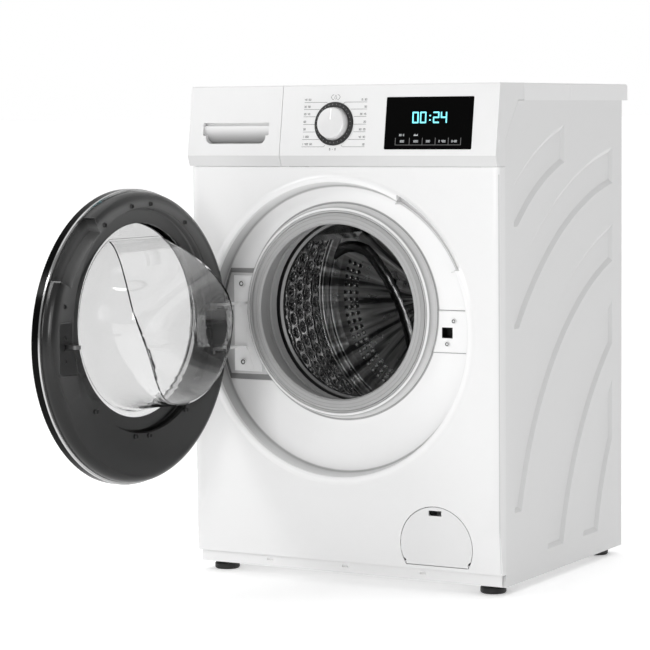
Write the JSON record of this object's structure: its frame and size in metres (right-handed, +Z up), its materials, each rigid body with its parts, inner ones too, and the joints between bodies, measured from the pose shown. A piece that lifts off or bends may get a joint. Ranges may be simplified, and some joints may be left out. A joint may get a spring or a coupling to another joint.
{
  "type": "front load washing machine",
  "caption": "Front load washing machine with an open round glass door, detergent drawer, selector knob, display and sprung drum unit.",
  "frame": {"origin": "on the floor, below the middle of the whole part with its door open", "axes": "+Z up; the front faces -Y, where the open door reaches; +X to the right as seen from the front"},
  "size_m": [0.595, 1.0303, 0.85],
  "materials": {
    "white_paint": "glossy white enamel on steel",
    "white_plastic": "white moulding",
    "grey_plastic": "grey moulding",
    "black_plastic": "black moulding, satin to glossy",
    "black_rubber": "black rubber",
    "grey_rubber": "light grey door gasket rubber",
    "display_glass": "black gloss panel",
    "stainless": "stainless sheet",
    "zinc_steel": "zinc plated steel",
    "chrome_trim": "chrome line",
    "cast_aluminium": "cast aluminium",
    "concrete": "cast concrete",
    "bowl_glass": "clear pressed glass",
    "cover_clear": "clear cover",
    "board_green": "circuit board",
    "belt_rubber": "ribbed belt",
    "tub_plastic": "filled polypropylene",
    "knob_plastic": "silver cap"
  },
  "bodies": {
    "cabinet": {"side_panel_left": "white_paint", "side_panel_right": "white_paint", "front_plate": "white_paint", "back_panel": "white_paint", "rear_cover": "white_paint", "worktop": "white_plastic", "base_pan": "grey_plastic", "top_rails": "zinc_steel", "levelling_feet": "black_plastic", "control_panel": "white_plastic", "display_window": "display_glass", "control_board": "board_green", "selector_ring": "black_plastic", "dispenser_housing": "grey_plastic", "inlet_valve": "grey_plastic", "inlet_hose": "black_rubber", "fill_hose": "black_rubber", "door_gasket": "grey_rubber", "door_lock": "black_plastic", "front_screws": "zinc_steel", "hinge_bracket": "white_paint", "pump_housing": "grey_plastic", "drain_pump": "black_plastic", "drain_hose": "black_rubber", "sump_hose": "black_rubber", "transit_caps": "black_plastic", "mains_gland": "black_plastic", "suspension_springs": "zinc_steel", "damper_tubes": "black_plastic"},
    "tub": {"tub_front": "tub_plastic", "tub_rear": "tub_plastic", "counterweights": "concrete", "heater": "zinc_steel", "drum_bearings": "zinc_steel", "shaft_seal": "black_rubber", "motor_housing": "cast_aluminium", "drive_belt": "belt_rubber", "damper_rods": "zinc_steel"},
    "drum": {"drum_shell": "stainless", "drum_front": "stainless", "drum_back": "stainless", "drum_lifters": "stainless", "drum_spider": "cast_aluminium", "drum_shaft": "zinc_steel", "drum_pulley": "cast_aluminium"},
    "motor_shaft": {"motor_rotor": "zinc_steel"},
    "door": {"door_ring": "black_plastic", "door_trim": "chrome_trim", "door_frame": "black_plastic", "door_glass": "bowl_glass", "door_window": "cover_clear", "door_hinge": "zinc_steel", "door_screws": "zinc_steel", "latch_plate": "black_plastic"},
    "latch": {"latch_hook": "zinc_steel"},
    "drawer": {"drawer_front": "white_plastic", "drawer_tray": "grey_plastic"},
    "selector": {"selector_knob": "knob_plastic"},
    "flap": {"filter_flap": "white_plastic"},
    "filter": {"filter_cap": "grey_plastic"}
  },
  "joints": [
    {"name": "door_swing", "type": "hinge", "parent": "cabinet", "child": "door", "pos_m": [-0.245, -0.0372, 0.4635], "axis": [0, 0, -1], "range_deg": [-94, 46]},
    {"name": "latch_swing", "type": "hinge", "parent": "door", "child": "latch", "pos_m": [-0.24744, -0.4735, 0.4355], "axis": [0, 0, 1], "range_deg": [-8, 8], "stiffness_Nm_per_rad": 0.5},
    {"name": "drawer_slide", "type": "slide", "parent": "cabinet", "child": "drawer", "axis": [0, -1, 0], "range_m": [0, 0.2]},
    {"name": "selector_turn", "type": "hinge", "parent": "cabinet", "child": "selector", "pos_m": [-0.0085, -0.02073, 0.7844], "axis": [0, -0.9888, 0.1496], "continuous": true},
    {"name": "flap_swing", "type": "hinge", "parent": "cabinet", "child": "flap", "pos_m": [0.176, -0.00514, 0.04687], "axis": [1, 0, 0], "range_deg": [0, 90]},
    {"name": "filter_turn", "type": "hinge", "parent": "cabinet", "child": "filter", "pos_m": [0.175, 0.0072, 0.082], "axis": [0, -1, 0], "range_deg": [0, 90]},
    {"name": "tub_bounce", "type": "slide", "parent": "cabinet", "child": "tub", "axis": [0, 0, 1], "range_m": [-0.008, 0.008], "stiffness_N_per_m": 250000, "deforming": ["door_gasket", "suspension_springs", "fill_hose", "sump_hose"]},
    {"name": "drum_spin", "type": "hinge", "parent": "tub", "child": "drum", "pos_m": [-0.012, 0.2152, 0.4655], "axis": [0, 1, 0], "continuous": true},
    {"name": "motor_spin", "type": "hinge", "parent": "tub", "child": "motor_shaft", "pos_m": [0.04, 0.3832, 0.122], "axis": [0, 1, 0], "continuous": true}
  ],
  "couplings": [
    {"joint": "motor_spin", "follows": "drum_spin", "ratio": 12.416}
  ]
}
